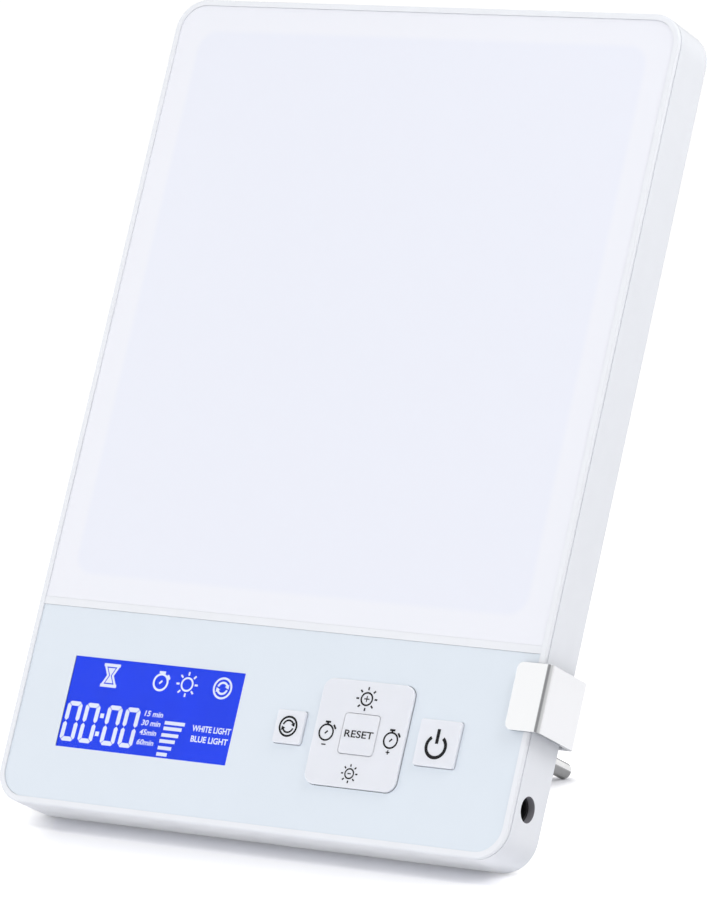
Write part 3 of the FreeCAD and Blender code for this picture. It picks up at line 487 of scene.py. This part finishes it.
    def words(self, text, x_low, x_high, y_low, y_high, weight, slant=0.0):
        """Plain lettering fitted to a box."""
        curve = bpy.data.curves.new("lettering", "FONT")
        curve.body = text
        curve.offset = weight
        curve.resolution_u = 4
        holder = bpy.data.objects.new("lettering", curve)
        flat = bpy.data.meshes.new_from_object(holder)
        xs = [vertex.co.x for vertex in flat.vertices]
        ys = [vertex.co.y for vertex in flat.vertices]
        x_scale = (x_high - x_low - slant * (y_high - y_low)) / (max(xs) - min(xs))
        y_scale = (y_high - y_low) / (max(ys) - min(ys))
        made = []
        for across, up in zip(xs, ys):
            rise = (up - min(ys)) * y_scale
            made.append(self.corner(x_low + (across - min(xs)) * x_scale + slant * rise, y_low + rise))
        for face in flat.polygons:
            self.mesh.faces.new([made[index] for index in face.vertices])
        bpy.data.objects.remove(holder)
        bpy.data.meshes.remove(flat)

    def finish(self, name, material, body, slot):
        """The printing as a piece that rides on a body."""
        self.mesh.normal_update()
        add_piece(name, self.mesh, material, body)


# ---------------------------------------------------------------- display
CELL_SETBACK = 0.08
CELL_EDGE = 0.00015
SYMBOL_LIFT = 0.02

# Places on the display in millimetres from the window's lower left corner.
DIGITS_LEFT = (0.45, 6.6, 14.2, 20.3)
DIGITS_LOW = 1.76
COLON_DOTS = ((13.1, 10.0), (12.8, 4.75))
DOT_HALF, DOT_TALL = 0.62, 1.3
TIMER_WORDS = (("15 min", 27.1, 33.5, 11.3), ("30 min", 26.7, 33.3, 8.65),
               ("45min", 26.7, 32.6, 5.95), ("60min", 26.5, 32.4, 3.1))
TIMER_TALL, TIMER_WEIGHT, TIMER_SLANT = 1.65, 0.022, 0.17
LEVEL_BARS = ((34.4, 41.2, 10.1), (34.4, 40.5, 8.5), (34.2, 39.9, 6.6),
              (34.0, 39.2, 4.85), (34.0, 38.5, 2.9), (34.0, 37.5, 1.1))
BAR_WIDTH = 1.0
LIGHT_WORDS = (("WHITE LIGHT", 43.85, 56.7, 8.6), ("BLUE LIGHT", 44.15, 56.4, 5.6))
LIGHT_TALL, LIGHT_WEIGHT = 1.8, 0.025


def display_cell():
    """Liquid-crystal cell, set a hair behind the clear window. Gives the height of its front."""
    (x_low, x_high), (y_low, y_high), (z_low, z_high) = panel_box("display_glass")
    front = z_high - CELL_SETBACK
    mesh = bmesh.new()
    corners = [(x_low, y_low), (x_high, y_low), (x_high, y_high), (x_low, y_high)]
    rear_ring, front_ring = [[mesh.verts.new(at(x, y, z)) for x, y in corners] for z in (z_low, front)]
    mesh.faces.new(rear_ring[::-1])
    mesh.faces.new(front_ring)
    for index in range(4):
        after = (index + 1) % 4
        mesh.faces.new([rear_ring[index], rear_ring[after], front_ring[after], front_ring[index]])
    rim = [edge for edge in mesh.edges if all(vertex in front_ring for vertex in edge.verts)]
    bmesh.ops.bevel(mesh, geom=rim, offset=CELL_EDGE, segments=2, affect="EDGES")
    cell = add_piece("display_cell", mesh, lcd_blue, "panel")
    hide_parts("display_glass")
    return front


def display_symbols(level):
    """Everything that the display shows."""
    (x_low, _), (y_low, _), _ = panel_box("display_window")
    lit = Print(x_low, y_low, level)
    lit.hourglass(12.75, 21.65)
    lit.stopwatch(29.97, 21.3, radius=2.6, width=0.62, stand=1.1, thickness=0.66, crown=2.1)
    lit.sun(38.87, 21.5, radius=2.1, width=0.54, inner=2.55, outer=3.6, ray_width=0.55)
    lit.cycle(50.77, 21.5, radius=3.15, width=0.6, inner=1.9, inner_width=0.62, head=0.8)
    for left in DIGITS_LEFT:
        lit.zero(left, DIGITS_LOW)
    for x, y in COLON_DOTS:
        lit.minus(x, y, DOT_HALF, DOT_TALL)
    for text, left, right, low in TIMER_WORDS:
        lit.words(text, left, right, low, low + TIMER_TALL, TIMER_WEIGHT, TIMER_SLANT)
    for left, right, middle in LEVEL_BARS:
        lit.line(left, middle, right, middle, BAR_WIDTH)
    for text, left, right, low in LIGHT_WORDS:
        lit.words(text, left, right, low, low + LIGHT_TALL, LIGHT_WEIGHT)
    lit.finish("display_symbols", lcd_white, "panel", "display_cell")


display_symbols(display_cell() + SYMBOL_LIFT)

# ---------------------------------------------------------------- symbols printed on the keys
INK_LIFT = 0.01


def on_key(node):
    """Printing just above a key, placed from the key's middle."""
    (left, right), (low, high), (_, top) = panel_box(node)
    return Print((left + right) / 2, (low + high) / 2, top + INK_LIFT)


def mode_symbol():
    """Arrows in a ring."""
    mode = on_key("mode_key")
    mode.cycle(-0.25, 0.06, radius=3.0, width=0.58, inner=1.93, inner_width=0.5, head=0.72)
    mode.finish("mode_symbol", key_print, "mode_key", "key")


def power_symbol():
    """Stroke in an open ring."""
    power = on_key("power_key")
    power.arc(-0.17, -0.98, radius=3.5, width=0.95, start=126.7, end=413.3)
    power.line(-0.17, -0.15, -0.17, 3.95, width=1.0)
    power.finish("power_symbol", key_print, "power_key", "key")


def reset_word():
    """The word on the middle key."""
    reset = on_key("reset_key")
    reset.words("RESET", -4.55, 4.65, -1.07, 0.97, weight=0.012)
    reset.finish("reset_word", key_print, "reset_key", "key")


def nav_symbols():
    """Brighter above, darker below, shorter on the left and longer on the right."""
    plate = on_key("nav_plate")
    timer = {"width": 0.5, "stand": 1.2, "thickness": 0.56, "crown": 1.7}
    plate.sun(-0.05, 9.98, radius=2.0, width=0.48, inner=2.5, outer=3.38, ray_width=0.48)
    plate.plus(-0.05, 9.98, half=0.85, width=0.3)
    plate.sun(-0.35, -11.03, radius=1.55, width=0.4, inner=1.95, outer=2.65, ray_width=0.42)
    plate.minus(-0.35, -11.03, half=0.55, width=0.3)
    plate.stopwatch(-10.6, -0.36, radius=2.45, **timer)
    plate.minus(-10.6, -3.75, half=0.7, width=0.34)
    plate.stopwatch(10.3, -0.65, radius=2.4, **timer)
    plate.plus(10.2, -4.0, half=0.6, width=0.32)
    plate.finish("nav_symbols", key_print, "nav_plate", "key")


mode_symbol()
power_symbol()
reset_word()
nav_symbols()

# ---------------------------------------------------------------- floor
FLOOR_COLOR = (0.93, 0.93, 0.96, 1)
FLOOR_GLOW = (1, 0.99, 0.94, 1)
OBJECT_REACH = 0.085  # how near the object crowds the floor
# Openness of the floor where a change of its lift begins and ends, for the camera and for mirrors.
OPEN_TO_CAMERA = (0.66, 0.99)
OPEN_TO_MIRRORS = (0.42, 0.62)
CAMERA_LIFT = 0.53
# painted light: near the object mirrors see the floor lifted more than in the open, which lightens the
# object's lower side
MIRRORED_GLOW_NEAR_OBJECT, OPEN_MIRROR_LIFT = 0.66, 0.13
# The shade in front of the object: a band across this direction, with white floor on both sides.
BAND_ACROSS = (0.838, 0.546, 0)
BAND_MIDDLE = -0.034
BAND_HALF = (0.057, 0.077)
SIDES_REACH_BACK = (0.03, 0.05)
SIDES_LIFT = 0.2
# painted shade that only mirrors see: a dark patch on the floor under the leg
MIRRORED_SHADE_COLOR = (0.42, 0.42, 0.43, 1)
MIRRORED_SHADE_FROM_FOOT = Vector((0.006, -0.012, 0.0))
MIRRORED_SHADE_RADIUS = (0.016, 0.03)
LEG_FOOT = min((vertex.co for vertex in nodes["stand_leg"].data.vertices), key=lambda place: place.z).copy()


def floor_material():
    """White matte floor, lifted to white away from the object for the camera. Mirrors and glass see it
    lifted little in the open and most near the object, a painted glow that lightens the object's lower side
    in its reflections.

    The shade that stays lies under the object and toward the front right. A dark patch of painted shade,
    which only mirrors see, lies under the leg and gives the polished rod a painted dark reflection along its
    lower side.
    """
    look = Look("floor", FLOOR_COLOR, 1.0, Specular_IOR_Level=0.0, Emission_Color=FLOOR_GLOW)
    openness = look.node("ShaderNodeAmbientOcclusion", Distance=OBJECT_REACH).outputs["AO"]
    across = look.vector("DOT_PRODUCT", look.place, BAND_ACROSS, "Value")
    off_middle = look.math("ABSOLUTE", look.math("SUBTRACT", across, BAND_MIDDLE))
    back = look.vector("DOT_PRODUCT", look.place, (0, 1, 0), "Value")
    beside = look.math("MULTIPLY", look.remap(off_middle, *BAND_HALF),
                       look.remap(back, *SIDES_REACH_BACK, 1.0, 0.0))
    open_floor = look.math("MAXIMUM", look.remap(openness, *OPEN_TO_CAMERA), beside)
    to_camera = look.math("ADD", look.math("MULTIPLY", open_floor, CAMERA_LIFT),
                          look.math("MULTIPLY", beside, SIDES_LIFT))
    # painted glow for mirrors and glass: the lift is highest where the floor is most crowded by the object
    to_mirrors = look.remap(openness, *OPEN_TO_MIRRORS, MIRRORED_GLOW_NEAR_OBJECT, OPEN_MIRROR_LIFT)
    # painted shade for mirrors: the floor turns dark around the leg's foot for glossy rays
    from_mirrored_shade = look.vector("DISTANCE", look.place, LEG_FOOT + MIRRORED_SHADE_FROM_FOOT, "Value")
    mirrored_shade = look.math("MULTIPLY", look.ray("Is Glossy Ray"), look.remap(from_mirrored_shade, *MIRRORED_SHADE_RADIUS, 1.0, 0.0))
    lift = look.math("MULTIPLY", look.seen_directly(to_camera, to_mirrors), look.math("SUBTRACT", 1.0, mirrored_shade))
    look.set("Emission Strength", lift)
    look.set("Base Color", look.blend(mirrored_shade, FLOOR_COLOR, MIRRORED_SHADE_COLOR))
    return look.material


bpy.ops.mesh.primitive_plane_add(size=40, location=(0, 0, 0))
floor = bpy.context.active_object
floor.name = "floor"
floor.data.materials.append(floor_material())

# ---------------------------------------------------------------- world and lamps
STUDIO_WHITE = (0.985, 0.99, 1.0, 1)
STUDIO_DARK = (0.0, 0.0, 0.01, 1)
LIT_LEVEL = 0.58
# Each corner's direction, the cosines from it where its shade begins and is full, and its depth.
DARK_CORNERS = [((0.27, -0.79, 0.55), 0.80, 0.93, 0.72), ((0.75, -0.5, 0.43), 0.3, 0.95, 0.4),
                ((-0.36, 0.93, 0.02), 0.93, 0.99, 0.7)]


def studio_world():
    """White studio that lights the object less than it shows, with unlit corners that only mirrors see."""
    world = bpy.data.worlds.new("studio")
    world.use_nodes = True
    studio = NodeTree(world.node_tree)
    sky = world.node_tree.nodes["Background"]
    direction = studio.coordinate("Generated")
    deepest = 0.0
    for corner, bright_at, dark_at, depth in DARK_CORNERS:
        toward = studio.vector("DOT_PRODUCT", direction, corner, "Value")
        deepest = studio.math("MAXIMUM", studio.remap(toward, bright_at, dark_at, 0.0, depth), deepest)
    shade = studio.math("MULTIPLY", deepest, studio.ray("Is Glossy Ray"))
    studio.feed(sky.inputs["Color"], studio.blend(shade, STUDIO_WHITE, STUDIO_DARK))
    shown = studio.seen_directly(1 - LIT_LEVEL, 1 - LIT_LEVEL)
    studio.feed(sky.inputs["Strength"], studio.math("ADD", shown, LIT_LEVEL))
    return world


def softbox(name, place, target, width, height, power):
    """Rectangular area lamp that looks at a point."""
    lamp = bpy.data.lights.new(name, "AREA")
    lamp.shape = "RECTANGLE"
    lamp.size = width
    lamp.size_y = height
    lamp.energy = power
    holder = bpy.data.objects.new(name, lamp)
    holder.location = place
    holder.rotation_euler = (Vector(target) - Vector(place)).to_track_quat("-Z", "Y").to_euler()
    bpy.context.scene.collection.objects.link(holder)


bpy.context.scene.world = studio_world()
softbox("key_light", (-1.9, -1.0, 0.9), (0, 0, 0.1), width=1.2, height=1.2, power=8.5)
softbox("front_light", (-0.2, -1.8, 0.14), (0, 0, 0.08), width=2.0, height=0.26, power=7.2)
softbox("right_light", (0.55, 0.0, 0.75), (0.08, 0, 0.15), width=0.4, height=0.4, power=2.6)

# ---------------------------------------------------------------- camera
# Solved from the straight edges of the panel in the photograph.
CAMERA_PLACE = (RIM_FRONT.x + 0.880294, -1.364127, 0.305937)
CAMERA_TURN, CAMERA_DOWN, CAMERA_ROLL = 33.1525, 7.1177, 0.0306
CAMERA_LENS, SENSOR_WIDTH = 232.67, 36


def photo_camera():
    """Camera at the photograph's angle."""
    data = bpy.data.cameras.new("camera")
    data.lens = CAMERA_LENS
    data.sensor_width = SENSOR_WIDTH
    data.clip_end = 100
    camera = bpy.data.objects.new("camera", data)
    bpy.context.scene.collection.objects.link(camera)
    camera.matrix_world = (Matrix.Translation(CAMERA_PLACE)
                           @ Matrix.Rotation(math.radians(CAMERA_TURN), 4, "Z")
                           @ Matrix.Rotation(math.radians(90 - CAMERA_DOWN), 4, "X")
                           @ Matrix.Rotation(math.radians(CAMERA_ROLL), 4, "Z"))
    return camera


bpy.context.scene.camera = photo_camera()
bpy.context.scene.view_settings.view_transform = "Standard"
